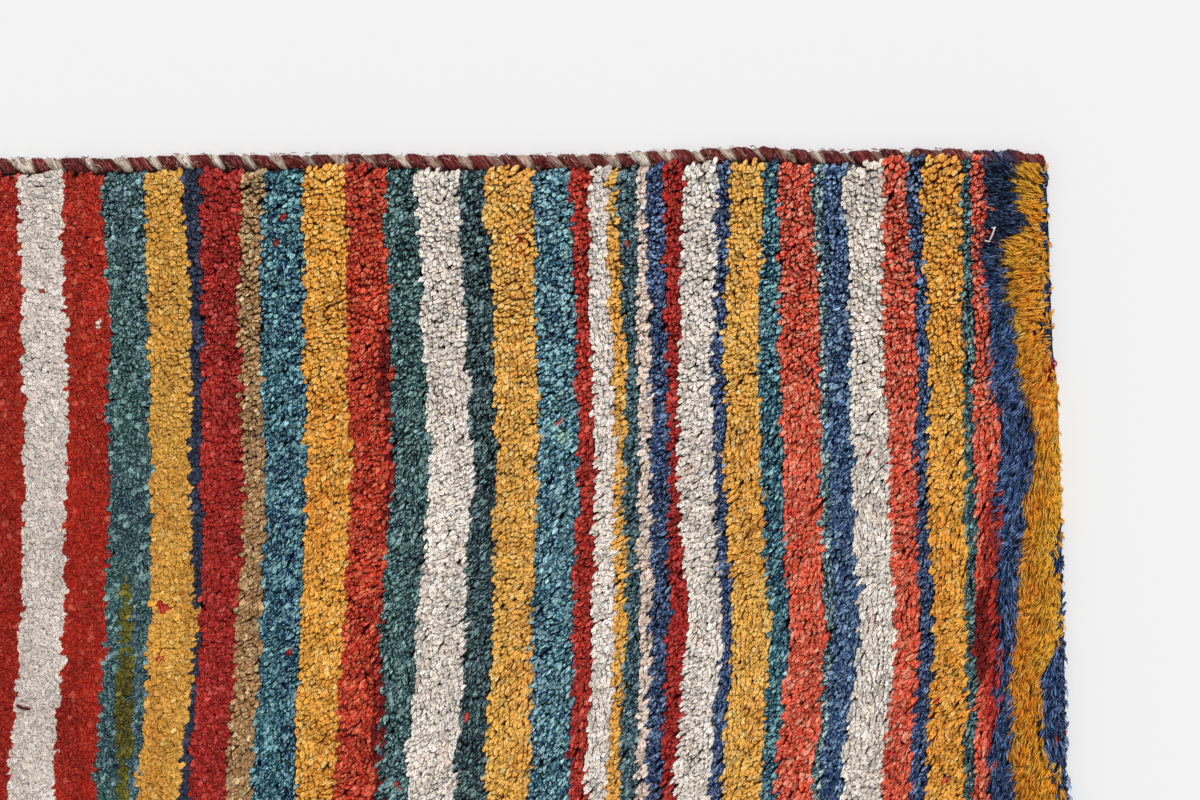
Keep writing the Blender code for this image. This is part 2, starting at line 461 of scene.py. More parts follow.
# ---------------------------------------------------------------- materials
def wool_material(name, fuzz, bump, streak_shade, light_from=0.50):
    """Wool made of strands of two colours, with painted shade where tufts part, towards their
    roots and in streaks between the strands.
    """
    material = bpy.data.materials.new(name)
    material.use_nodes = True
    nodes, links = material.node_tree.nodes, material.node_tree.links
    shader = nodes["Principled BSDF"]
    shader.inputs["Roughness"].default_value = 0.92
    shader.inputs["Specular IOR Level"].default_value = 0.10
    shader.inputs["Sheen Weight"].default_value = 0.04
    shader.inputs["Sheen Roughness"].default_value = 0.45

    def coat(name, output):
        node = nodes.new("ShaderNodeAttribute")
        node.attribute_name = name
        return node.outputs[output]

    def grain(vector, scale, detail):
        node = nodes.new("ShaderNodeTexNoise")
        node.inputs["Scale"].default_value = scale
        node.inputs["Detail"].default_value = detail
        node.inputs["Roughness"].default_value = 0.6
        links.new(vector, node.inputs["Vector"])
        return node.outputs["Fac"]

    def spread(source, start, end, low, high, kind="LINEAR"):
        node = nodes.new("ShaderNodeMapRange")
        node.interpolation_type = kind
        node.inputs["From Min"].default_value = start
        node.inputs["From Max"].default_value = end
        node.inputs["To Min"].default_value = low
        node.inputs["To Max"].default_value = high
        links.new(source, node.inputs["Value"])
        return node.outputs["Result"]

    def product(first, second):
        node = nodes.new("ShaderNodeMath")
        node.operation = "MULTIPLY"
        links.new(first, node.inputs[0])
        links.new(second, node.inputs[1])
        return node.outputs["Value"]

    fibre = coat("fibre", "Vector")
    place = nodes.new("ShaderNodeTexCoord").outputs["Object"]
    strands = grain(fibre, 1.0, 1.5)
    fine = grain(fibre, 2.7, 2.5)
    clouds = spread(grain(place, 55.0, 2.0), 0.3, 0.7, 0.94, 1.06)
    reach = coat("reach", "Fac")
    crack = spread(reach, 0.68, 1.02, 1.0, 0.13, "SMOOTHSTEP")
    # Painted shade: darker from the rim down towards the root.
    root_shade = spread(reach, 1.0, 1.9, 1.0, 0.12)

    # Painted shade: dark streaks between the strands, which are also grooves in the relief.
    shaded_streaks = spread(grain(fibre, 1.35, 0.5), 0.36, 0.50, streak_shade, 1.0)

    blend = nodes.new("ShaderNodeMix")
    blend.data_type = "RGBA"
    links.new(spread(strands, light_from, light_from + 0.10, 0.0, 1.0), blend.inputs[0])
    links.new(coat("wool", "Color"), blend.inputs[6])
    links.new(coat("light", "Color"), blend.inputs[7])
    # Painted shade in the cracks: past the rim the colour is squared and darkened, as light that
    # comes back out of a crack has met the wool twice.
    twice = nodes.new("ShaderNodeVectorMath")
    twice.operation = "MULTIPLY"
    links.new(blend.outputs[2], twice.inputs[0])
    links.new(blend.outputs[2], twice.inputs[1])
    crack_shade = nodes.new("ShaderNodeVectorMath")
    crack_shade.operation = "SCALE"
    crack_shade.inputs["Scale"].default_value = 0.17
    links.new(twice.outputs["Vector"], crack_shade.inputs[0])
    crack_shaded = nodes.new("ShaderNodeMix")
    crack_shaded.data_type = "RGBA"
    links.new(spread(reach, 0.68, 1.02, 0.0, 1.0, "SMOOTHSTEP"), crack_shaded.inputs[0])
    links.new(blend.outputs[2], crack_shaded.inputs[6])
    links.new(crack_shade.outputs["Vector"], crack_shaded.inputs[7])
    tone = product(spread(fine, 0.3, 0.7, 1 - fuzz, 1 + fuzz), clouds)
    tone = product(tone, product(root_shade, shaded_streaks))
    toned = nodes.new("ShaderNodeVectorMath")
    toned.operation = "SCALE"
    links.new(crack_shaded.outputs[2], toned.inputs[0])
    links.new(tone, toned.inputs["Scale"])
    links.new(toned.outputs["Vector"], shader.inputs["Base Color"])

    relief = nodes.new("ShaderNodeBump")
    relief.inputs["Strength"].default_value = bump
    relief.inputs["Distance"].default_value = 0.0004
    links.new(product(product(strands, crack), shaded_streaks), relief.inputs["Height"])
    links.new(relief.outputs["Normal"], shader.inputs["Normal"])
    return material


# ---------------------------------------------------------------- the clipped pile
def ridges(x, y, lie, size, seed):
    """Noise drawn out along the lie of the pile: size is along it and across it."""
    along = x * np.cos(lie) + y * np.sin(lie)
    across = y * np.cos(lie) - x * np.sin(lie)
    return noise(along, across, size, seed)


def lean_at(x, y, lie, combed):
    """How far the tips of the pile stand off their knots: they part and gather in clumps."""
    dx = 0.45 * noise(x, y, 0.0085, 31) + 0.35 * noise(x, y, 0.019, 32) - 0.35
    dy = 0.45 * noise(x, y, 0.0085, 33) + 0.35 * noise(x, y, 0.019, 34) - 0.35
    gather = 0.75 * combed * ridges(x, y, lie, (0.0130, 0.0046), 44)
    return (dx - gather * np.sin(lie)) * MM, (dy + gather * np.cos(lie)) * MM


def neighbour_offsets(place):
    """From each tuft to each of the 24 around it, for a grid of places."""
    far = np.pad(place, ((2, 2), (2, 2), (0, 0)), mode="reflect", reflect_type="odd")
    rows, columns = place.shape[:2]
    offsets = []
    for i in range(5):
        for k in range(5):
            if (i, k) != (2, 2):
                offsets.append(far[i : i + rows, k : k + columns] - place)
    return np.stack(offsets, axis=2)


# Where the pile leans out over the far cord: x, half the length of the place and how far
# it leans, in mm. Elsewhere a dark gap shows between the two.
OVERHANGS = (
    (-43, 3, 2.8),
    (-29, 9, 3.4),
    (-8, 12, 3.0),
    (90, 11, 2.2),
    (202, 5, 3.0),
    (240, 40, 0.8),
    (349, 4, 1.6),
    (396, 60, 6.4),
    (419, 9, 2.6),
)
# How the pile lies, in degrees from +X, how much longer its tufts are that way than
# their share of the surface, how much narrower, and how far they stand apart, over its
# far part and its near part.
#        x     lie   far: longer narrower apart  near: longer narrower apart
PILE_LIE = (
    (-0.465, 60, 1.10, 1.00, 0.85, 1.20, 0.90, 0.24),
    (-0.180, 58, 1.20, 0.94, 0.95, 1.34, 0.84, 0.34),
    (-0.080, 56, 1.34, 0.86, 1.10, 1.62, 0.70, 0.76),
    (0.000, 54, 1.44, 0.80, 1.15, 1.70, 0.62, 0.90),
    (0.200, 50, 1.55, 0.74, 1.15, 1.76, 0.56, 0.88),
    (0.330, 52, 1.50, 0.80, 1.12, 1.78, 0.52, 0.74),
    (0.465, 60, 1.66, 0.76, 1.25, 1.80, 0.50, 0.70),
)
NEAR_FROM, NEAR_TO = 0.215, 0.095  # the y over which the one passes into the other
# Places where it lies another way: x, y, half x, half y in mm, and the lie.
LOCKS = (
    (-220, 284, 13, 14, 6),
    (-12, 122, 12, 10, 80),
    (330, 60, 12, 14, 74),
)


def spill_at(x):
    """How far the edge of the pile leans out over the far cord, for each x."""
    lean = 0.35 + 0.5 * noise(x, 0.0, 0.011, 35)
    for at, half, out in OVERHANGS:
        lean = lean + out * np.exp(-(((x / MM - at) / half) ** 4))
    return lean * MM


def spill_fade(inward, spill):
    """The share of that lean this far in from the edge."""
    return np.exp(-((inward / (0.0035 + 0.8 * np.abs(spill))) ** 2))


def make_pile(material):
    rng = np.random.default_rng(41)
    rows = round(LENGTH / ROW)
    knots = round((WIDTH - 2 * CORD_WIDE) / KNOT)
    i, k = np.meshgrid(np.arange(rows), np.arange(knots), indexing="ij")
    stagger = 0.25 + 0.5 * (i % 2)
    x, y = in_field((i + 0.5) / rows, (k + stagger) / knots)
    x = x + np.clip(rng.normal(0, 0.24, x.shape), -0.5, 0.5) * ROW
    y = y + np.clip(rng.normal(0, 0.24, y.shape), -0.5, 0.5) * KNOT
    at, *columns = np.array(PILE_LIE).T
    lie, *combing = (np.interp(x, at, column) for column in columns)
    near_share = np.clip((NEAR_FROM - y) / (NEAR_FROM - NEAR_TO), 0, 1)
    longer, narrower, apart = (
        far + (near - far) * near_share for far, near in zip(combing[:3], combing[3:])
    )
    for lock_x, lock_y, half_x, half_y, turned in LOCKS:
        off = ((x / MM - lock_x) / half_x) ** 2 + ((y / MM - lock_y) / half_y) ** 2
        held = np.exp(-(off**2))
        lie = lie + (turned - lie) * held
        longer = longer + (1.9 - longer) * held
        narrower = narrower + (0.60 - narrower) * held
        apart = apart * (1 - 0.35 * held)
    combed = np.clip((longer - 1) / 0.4, 0, 1.2)
    dx, dy = lean_at(x, y, np.radians(lie), combed)
    lie = np.radians(lie + 16 * noise(x, y, 0.030, 42) + 10 * noise(x, y, 0.009, 43))

    # The outermost tufts spill over the edge, more in some places than in others.
    from_far, from_near = field_side(1, x) - y, y - field_side(-1, x)
    from_end, from_start = end_line(1, y) - x, x - end_line(-1, y)
    over_far, over_near = spill_at(x), spill_at(-0.7 * x)
    dy = dy + over_far * spill_fade(from_far, over_far)
    dy = dy - over_near * spill_fade(from_near, over_near)
    spill = (0.6 + 0.6 * noise(y, 1.0, 0.014, 35)) * MM
    dx = dx - spill * np.exp(-((from_end / 0.003) ** 2))
    dx = dx - spill * np.exp(-((from_start / 0.003) ** 2))
    top = np.stack([x + dx, y + dy], axis=2)

    # Each cap fills its share of the surface, stretched along the lie of the pile.
    offsets = neighbour_offsets(top)
    stretch = longer / narrower
    cross = np.stack([-np.sin(lie), np.cos(lie)], axis=2)

    def squeezed(v, amount):
        """Shortens or lengthens v across the lie."""
        along = np.einsum("ijnc,ijc->ijn", v, cross)
        return v + along[..., None] * cross[:, :, None, :] * (amount - 1)[..., None, None]

    near = squeezed(offsets, stretch)
    coarse = np.clip((x - 0.33) / 0.02, 0, 1) * (1 - near_share)
    bulk = rng.normal(0, 1, x.shape) * (0.16 + 0.12 * coarse)
    bulk = bulk[..., None] * ROW * KNOT
    reach2 = ((near**2).sum(axis=3) - neighbour_offsets(bulk)[..., 0]) / 2
    turns = rng.uniform(0, 2 * np.pi, x.shape)
    best_area = np.full(x.shape, -1.0)
    angle, radius = None, None
    for half_step in (0.0, 0.5):
        trial = turns[..., None] + 2 * np.pi * (np.arange(SIDES) + half_step) / SIDES
        way = np.stack([np.cos(trial), np.sin(trial)], axis=3)
        facing = np.einsum("ijnc,ijmc->ijmn", near, way)
        far = np.where(
            facing > 1e-9, reach2[:, :, None, :] / np.maximum(facing, 1e-9), 1.0
        ).min(axis=3)
        area = (far**2).sum(axis=2)
        better = area > best_area
        if angle is None:
            angle, radius = trial, far
        angle = np.where(better[..., None], trial, angle)
        radius = np.where(better[..., None], far, radius)
        best_area = np.maximum(area, best_area)
    radius = np.clip(radius, 0.0006, 0.78 * KNOT)
    radius = radius * rng.uniform(0.88, 1.16, radius.shape)
    ring = np.stack([np.cos(angle), np.sin(angle)], axis=3) * radius[..., None]
    ring = squeezed(ring, narrower / longer) * longer[..., None, None]

    flat = lambda a: a.reshape(-1, *a.shape[2:])
    x, y, top, ring, k = (flat(a) for a in (x, y, top, ring, k))
    lie, longer, combed, apart = flat(lie), flat(longer), flat(combed), flat(apart)
    angle, over_far, from_far = flat(angle), flat(over_far), flat(from_far)
    edge = np.minimum.reduce(
        [flat(a) for a in (from_far, from_near, from_end, from_start)]
    )
    count = len(x)
    wool = wool_at(x + rng.normal(0, 0.0005, count), y)
    even = np.clip(1 - apart, 0, 1)
    colour, light = wool_colours(x, y, wool, rng, even)
    light = light + (colour - light) * (0.6 * even)[:, None]
    long_pile = np.clip((x - stripe_edges(y)[-3]) / 0.002 + 0.5, 0, 1)
    parting = np.abs(ridges(x, y, lie, (0.0100, 0.0042), 45)) ** 0.5
    crack = 1 + 0.4 * noise(x, y, 0.009, 40) + 0.5 * (0.6 - parting)
    crack = column(5, wool) * crack * apart
    # Where tufts merge, a few cracks still show.
    crack += 0.7 * apart * (rng.random(count) < 0.13) * (column(5, wool) < 0.4)
    crack = np.clip(crack + rng.normal(0, 0.12, count), 0.05, 1.4)
    rough = 0.15 + 0.85 * np.minimum(crack, 1)
    ring = ring * (1.20 - 0.11 * crack + 0.10 * even)[:, None, None]
    # A tuft parts from the next one along one side, where painted shade darkens the parting, and
    # merges with it elsewhere.
    dark = lie - np.pi / 2 + rng.normal(0, 0.7, count)
    open_side = 0.5 + 0.5 * np.cos(angle - dark[:, None])

    high = PILE_HIGH + column(7, wool) * MM + rough * rng.normal(0, 0.00022, count)
    high += 0.00035 * noise(x, y, 0.020, 36) + 0.00030 * noise(x, y, 0.007, 37)
    high += 0.00045 * even * ridges(x, y, lie, (0.0110, 0.0046), 47)
    above_cord = np.clip(over_far / 0.003, 0, 1) * (from_far < 0.012)
    high -= 0.0018 * np.exp(-((edge / 0.0028) ** 2)) * (1 - above_cord)
    high -= 0.0042 * long_pile
    # Each tuft rises towards its tip and lies over the next one.
    tilt = np.stack(
        [
            0.18 * noise(x, y, 0.006, 38) + rng.normal(0, 0.28, count),
            0.18 * noise(x, y, 0.006, 39) + rng.normal(0, 0.28, count),
        ],
        axis=1,
    )
    tilt = tilt * rough[:, None]
    lying = np.stack([np.cos(lie), np.sin(lie)], axis=1)
    shingled = 1.3 * np.minimum(longer - 1.0, 0.38) * (1 - 0.8 * even)
    tilt -= shingled[:, None] * lying
    drop = rng.uniform(0.0002, 0.0009, (count, SIDES)) * rough[:, None]
    drop = drop * (0.2 + 0.9 * open_side)
    slope = np.clip((ring * tilt[:, None, :]).sum(axis=2), -0.0030, 0.0024)
    ring_z = high[:, None] - drop + slope
    crown = rng.normal(0, 0.00042, (count, 2)) * rough[:, None]

    points = np.empty((count, SIDES + 2, 3))
    points[:, 0, :2] = top + crown
    points[:, 0, 2] = high
    points[:, 1:-1, :2] = top[:, None, :] + ring
    points[:, 1:-1, 2] = ring_z
    points[:, -1, :2] = np.stack([x, y], axis=1)
    points[:, -1, 2] = GROUND_HIGH - 0.0004

    tone = np.ones((count, SIDES + 2))
    # Painted shade: each cap's rim is a little darker than its crown, on average.
    tone[:, 1:-1] = 1 - rng.uniform(-0.06, 0.20, (count, SIDES)) * rough[:, None]
    # Painted shade on the short pile that lies under the long pile; the even pile is also a
    # little darker overall.
    tone *= (1 - 0.35 * long_pile)[:, None] * (1 - 0.13 * even)[:, None]
    # Painted sheen: combed pile is lighter and darker in bands along its lie.
    tone *= (1 + 0.17 * combed * ridges(x, y, lie, (0.0085, 0.0027), 46))[:, None]
    # reach carries painted shade: the rim lies past where the material darkens it, the more so on
    # the open side and the deeper the crack.
    reach = np.zeros((count, SIDES + 2))
    parted = (0.22 + 1.15 * open_side) * rng.uniform(0.8, 1.2, open_side.shape)
    reach[:, 1:-1] = 0.60 + 0.46 * crack[:, None] * parted
    reach[:, -1] = 2.0

    # Each tuft's fibres run their own way, near the lie of the pile.
    turn = lie + rng.normal(0, 0.30, count) + rng.uniform(-1, 1, count) * (x < -0.1)
    along = np.stack([np.cos(turn), np.sin(turn)], axis=1)
    off = points[:, :, :2] - top[:, None, :]
    fibre = np.empty((count, SIDES + 2, 3))
    fibre[:, :, 0] = (off * along[:, None, :]).sum(axis=2) / 0.0024
    fibre[:, :, 1] = (off[..., 1] * along[:, :1] - off[..., 0] * along[:, 1:]) / 0.0009
    fibre[:, :, 2] = rng.uniform(0, 400, count)[:, None]
    fibre[:, -1, 0] += 3.0

    m = np.arange(SIDES)
    after = (m + 1) % SIDES
    cap = np.stack([np.zeros(SIDES, int), 1 + m, 1 + after], axis=1)
    wall = np.stack([1 + m, np.full(SIDES, SIDES + 1), 1 + after], axis=1)
    faces = np.concatenate([cap, wall])

    turn = 2 * np.pi * m / SIDES
    on = 0.5 + 0.30 * np.stack([np.cos(turn), np.sin(turn)], axis=1)
    mid = turn + np.pi / SIDES
    out = 0.5 + 0.47 * np.stack([np.cos(mid), np.sin(mid)], axis=1)
    centre = np.full((SIDES, 2), 0.5)
    local = np.concatenate(
        [
            np.stack([centre, on, on[after]], axis=1),
            np.stack([on, out, on[after]], axis=1),
        ]
    ).reshape(-1, 2)

    pieces = []
    for strip in range(STRIPS):
        chosen = np.nonzero(k * STRIPS // knots == strip)[0]
        starts = np.arange(len(chosen))[:, None, None] * (SIDES + 2)
        shaded = tone[chosen][:, :, None]
        coats = {
            "wool": (colour[chosen][:, None, :] * shaded).reshape(-1, 3),
            "light": (light[chosen][:, None, :] * shaded).reshape(-1, 3),
            "fibre": fibre[chosen].reshape(-1, 3),
            "reach": reach[chosen].ravel(),
        }
        pieces.append(
            make_mesh(
                f"pile_{strip + 1}",
                points[chosen].reshape(-1, 3),
                (starts + faces[None]).reshape(-1, 3),
                coats,
                patch_uvs(len(chosen), local),
                material,
                crease=24,
            )
        )
    return pieces


# ---------------------------------------------------------------- the shaggy end
SHAG_CLUMPS = 2250
SHAG_STRANDS = 6  # in each clump
#        y      which way the strands lie, in degrees from +X
SHAG_LIE = (
    (-0.310, 240),
    (-0.100, 246),
    (0.020, 244),
    (0.110, 236),
    (0.190, 214),
    (0.235, 196),
    (0.262, 178),
    (0.310, 176),
)
# Where the very end is a ragged tuft that falls outwards: y, half its width, how far out,
# in mm.
END_TUFTS = (
    (-36, 9, 1.6),
    (-62, 12, 1.6),
    (-82, 6, 2.6),
    (-116, 14, 4.2),
    (60, 12, 1.0),
    (203, 10, 0.8),
)
# Single threads that lie on top: wool, both ends and the height in mm, half the
# thickness, and through how many degrees it curls.
#      wool      x0     y0     x1     y1    z    thick curl
LOOSE_THREADS = (
    ("white", 412.2, 258.2, 414.8, 258.0, 15.9, 0.60, 70),
    ("white", 414.4, 258.6, 410.2, 248.4, 15.9, 0.84, -10),
    ("white", 411.0, 248.8, 407.2, 250.0, 15.6, 0.55, -40),
    ("white", 387.6, 268.8, 391.2, 268.4, 13.6, 0.55, 80),
    ("wrap", 446.6, 297.6, 448.8, 295.8, 9.6, 0.34, 170),
    ("brown_wrap", 447.4, 292.8, 448.8, 289.6, 9.2, 0.36, -150),
    ("wrap", 448.2, 287.6, 449.6, 285.0, 9.0, 0.30, 140),
    ("maroon", -236.6, -59.8, -226.8, -62.0, 13.9, 1.15, 35),
    ("red", 445.0, 306.0, 446.0, 305.4, 8.2, 0.80, 250),
    ("red", 446.2, 304.2, 445.4, 305.2, 8.9, 0.60, 240),
)


def taper_faces(steps):
    """The triangles of a three-sided taper with this many sections, and their UVs."""
    faces = [(0, 2, 1)]
    local = [(0.05, 0.5), (0.10, 0.2), (0.10, 0.8)]
    for s in range(steps - 1):
        low, high = 0.12 + 0.6 * s / (steps - 1), 0.12 + 0.6 * (s + 1) / (steps - 1)
        for c in range(3):
            a, b = 3 * s + c, 3 * s + (c + 1) % 3
            v0, v1 = 0.1 + 0.8 * c / 3, 0.1 + 0.8 * (c + 1) / 3
            faces += [(a, b, a + 3), (b, b + 3, a + 3)]
            local += [(low, v0), (low, v1), (high, v0)]
            local += [(low, v1), (high, v1), (high, v0)]
    last = 3 * (steps - 1)
    for c in range(3):
        v0, v1 = 0.1 + 0.8 * c / 3, 0.1 + 0.8 * (c + 1) / 3
        faces.append((last + c, last + (c + 1) % 3, last + 3))
        local += [(0.72, v0), (0.72, v1), (0.95, (v0 + v1) / 2)]
    return np.array(faces), np.array(local)


def taper_points(spine, girth):
    """Three-sided tapers round these spines, of (strand, step, xyz), down to a point."""
    count, last = spine.shape[0], spine.shape[1] - 1
    points = np.empty((count, 3 * last + 1, 3))
    for s in range(last):
        go = spine[:, s + 1] - spine[:, s]
        go = go / np.linalg.norm(go, axis=1, keepdims=True)
        side = np.stack([-go[:, 1], go[:, 0], np.zeros(count)], axis=1)
        side = side / np.maximum(np.linalg.norm(side, axis=1, keepdims=True), 1e-6)
        rise = np.cross(go, side)
        for c, turn in enumerate(np.radians([90, 210, 330])):
            points[:, 3 * s + c] = spine[:, s] + girth[:, s, None] * (
                side * np.cos(turn) + rise * np.sin(turn)
            )
    points[:, -1] = spine[:, -1]
    return points


def make_tapers(name, spine, girth, colour, light, tone, rng, material):
    """One mesh of tapers. tone has a value for each strand's sections and its tip."""
    count, steps = spine.shape[0], spine.shape[1] - 1
    points = taper_points(spine, girth)
    size = points.shape[1]
    faces, local = taper_faces(steps)
    shaded = np.concatenate([np.repeat(tone[:, :-1], 3, axis=1), tone[:, -1:]], axis=1)
    fibre = np.empty((count, size, 3))
    fibre[:, :, 0] = 1.2 * (np.arange(size) // 3)
    fibre[:, :, 1] = 0.8 * (np.arange(size) % 3)
    fibre[:, :, 2] = rng.uniform(0, 400, count)[:, None]
    starts = np.arange(count)[:, None, None] * size
    # A strand's colour deepens where it is shaded.
    hue = colour / colour.max(axis=1, keepdims=True)
    deepened = hue[:, None, :] ** (0.7 * np.clip(1 - shaded, 0, 1)[:, :, None])
    coats = {
        "wool": (colour[:, None, :] * shaded[:, :, None] * deepened).reshape(-1, 3),
        "light": (light[:, None, :] * shaded[:, :, None]).reshape(-1, 3),
        "fibre": fibre.reshape(-1, 3),
        "reach": np.zeros(count * size),
    }
    return make_mesh(
        name,
        points.reshape(-1, 3),
        (starts + faces[None]).reshape(-1, 3),
        coats,
        patch_uvs(count, local),
        material,
    )


def make_shag(material):
    """Long strands that lie over each other, each a bent three-sided taper."""
    rng = np.random.default_rng(51)
    along = math.ceil(math.sqrt(SHAG_CLUMPS * 0.62 / 0.060))
    across = SHAG_CLUMPS // along
    i, k = np.meshgrid(np.arange(across), np.arange(along), indexing="ij")
    i = ((i + rng.uniform(0.05, 0.95, i.shape)) / across).ravel()
    k = ((k + rng.uniform(0.05, 0.95, k.shape)) / along).ravel()
    _, y = in_field(0.95, 0.004 + 0.992 * k)
    start = stripe_edges(y)[-3] + 0.0030
    x = start + (end_line(1, y) - 0.0012 - start) * i

    clumps = len(x)
    lie = np.interp(y, *np.array(SHAG_LIE).T)
    lie = lie + 26 * noise(x, y, 0.011, 52) + 20 * noise(x, y, 0.028, 53)
    lie = lie + rng.normal(0, 9, clumps)
    # A clump's wool is that of the stripe it is seen in, which is where its tips lie.
    tip_x = x + 0.0075 * np.cos(np.radians(lie))
    wool = wool_at(tip_x, y + 0.0075 * np.sin(np.radians(lie)))
    first = list(WOOLS).index(END_STRIPES[1])
    wool = np.where(tip_x < stripe_edges(y)[-3], first, wool)
    colour, light = wool_colours(x, y, wool, rng)
    # At the very end the clumps are short, and some fall outwards.
    past = np.exp(-(((end_line(1, y) - x) / 0.006) ** 2))
    ragged = np.zeros(clumps)
    for at, half, out in END_TUFTS:
        ragged = ragged + out / 3 * np.exp(-(((y / MM - at) / half) ** 2))
    outward = np.where(lie > 180, 320.0, 30.0)
    falls = rng.random(clumps) < 0.25 + 0.6 * ragged
    lie = lie + (outward - lie) * past * falls

    each = np.repeat(np.arange(clumps), SHAG_STRANDS)
    count = len(each)
    lie = np.radians(lie[each] + rng.normal(0, 9, count))
    short = 1 - (0.55 - 0.40 * np.minimum(ragged[each], 1)) * past[each]
    long = rng.uniform(0.0095, 0.0145, count) * short
    root = np.stack([x[each], y[each]], axis=1) + rng.normal(0, 0.0007, (count, 2))
    thick = rng.uniform(0.00034, 0.00052, count)
    thick[wool[each] == list(WOOLS).index("deep_navy")] *= 0.85
    way = np.stack([np.cos(lie), np.sin(lie)], axis=1)

    # The spine bends over from steep to level.
    steps = (0.34, 0.36, 0.30)
    pitches = np.radians([62, 30, 2])
    up = rng.normal(0, 0.13, count) - 0.35 * past[each] * falls[each]
    spine = np.empty((count, 4, 3))
    spine[:, 0, :2] = root
    spine[:, 0, 2] = rng.uniform(0.0046, 0.0072, count)
    bend = rng.normal(0, 0.15, count)
    for s in range(3):
        turn = bend * (s - 0.5)
        heading = np.stack(
            [
                way[:, 0] * np.cos(turn) - way[:, 1] * np.sin(turn),
                way[:, 0] * np.sin(turn) + way[:, 1] * np.cos(turn),
            ],
            axis=1,
        )
        pitch = pitches[s] + up
        go = (long * steps[s])[:, None]
        spine[:, s + 1, :2] = spine[:, s, :2] + heading * go * np.cos(pitch)[:, None]
        spine[:, s + 1, 2] = spine[:, s, 2] + go[:, 0] * np.sin(pitch)
    # Nothing reaches far past the end or over the cords.
    reach = end_line(1, spine[:, :, 1]) + (0.0008 + 0.0010 * ragged[each])[:, None]
    over = np.maximum(spine[:, :, 0] - reach, 0)
    spine[:, :, 0] -= over * 0.90
    spine[:, :, 2] -= np.minimum(over * 0.9, 0.004)
    side = np.clip(spine[:, :, 1], field_side(-1, root[:, :1]), field_side(1, root[:, :1]))
    spine[:, :, 1] = side + 0.25 * (spine[:, :, 1] - side)
    # Along the far side they lie out over the cord.
    from_far = field_side(1, root[:, 0]) - root[:, 1]
    spill = spill_at(root[:, 0])
    spill = spill * spill_fade(from_far, spill) * rng.uniform(0.7, 1.2, count)
    spine[:, :, 1] += spill[:, None] * [0.0, 0.6, 0.9, 1.0]
    spine[:, :, 2] += 0.25 * spill[:, None] * [0.0, 1.0, 1.0, 0.8]

    girth = np.array([0.75, 1.0, 0.85]) * thick[:, None]
    # Painted shade and light along each strand: dark at the root, lighter towards the tip that
    # lies on top.
    tone = np.array([0.50, 1.30, 1.80, 1.85]) * np.exp(rng.normal(0, 0.16, count))[:, None]
    # Each clump has a shaded strand.
    tone = tone * np.exp(rng.normal(0, 0.15, clumps))[each, None]
    tone = tone * np.where(np.arange(count) % SHAG_STRANDS == 2, 0.60, 1.10)[:, None]
    # The blue is darkest near the far side.
    dim = np.clip((root[:, 1] - 0.185) / 0.06, 0, 1) * (wool[each] == first)
    tone = tone * (1 - 0.58 * dim)[:, None]
    pieces = []
    for name, chosen in (("shag_1", each % 2 == 0), ("shag_2", each % 2 == 1)):
        own = each[chosen]
        pieces.append(
            make_tapers(
                name,
                spine[chosen],
                girth[chosen],
                colour[own],
                light[own],
                tone[chosen],
                rng,
                material,
            )
        )
    return pieces


def make_threads(material):
    """Single loose threads that lie on top of the pile, and a knot at the corner."""
    rng = np.random.default_rng(55)
    names = list(WOOLS)
    steps = 7
    spines = []
    for _, x0, y0, x1, y1, z, _, curl in LOOSE_THREADS:
        turn = np.radians(curl) * (np.arange(steps) / (steps - 1) - 0.5)
        way = np.stack([np.cos(turn), np.sin(turn)], axis=1)
        path = np.concatenate([[[0.0, 0.0]], np.cumsum(way, axis=0)])
        across = complex(x1 - x0, y1 - y0) / complex(*path[-1])
        run = (path[:, 0] + 1j * path[:, 1]) * across
        sag = 0.7 * np.abs(2 * np.arange(steps + 1) / steps - 1) ** 3
        spines.append(np.stack([x0 + run.real, y0 + run.imag, z - sag], axis=1) * MM)
    spine = np.array(spines)
    wool = np.array([names.index(row[0]) for row in LOOSE_THREADS])
    colour, light = wool_colours(spine[:, 0, 0], spine[:, 0, 1], wool, rng)
    thick = np.array([row[6] for row in LOOSE_THREADS])[:, None] * MM
    return make_tapers(
        "loose_threads",
        spine,
        np.repeat(thick, steps, axis=1),
        colour,
        light,
        np.ones((len(spine), steps + 1)),
        rng,
        material,
    )


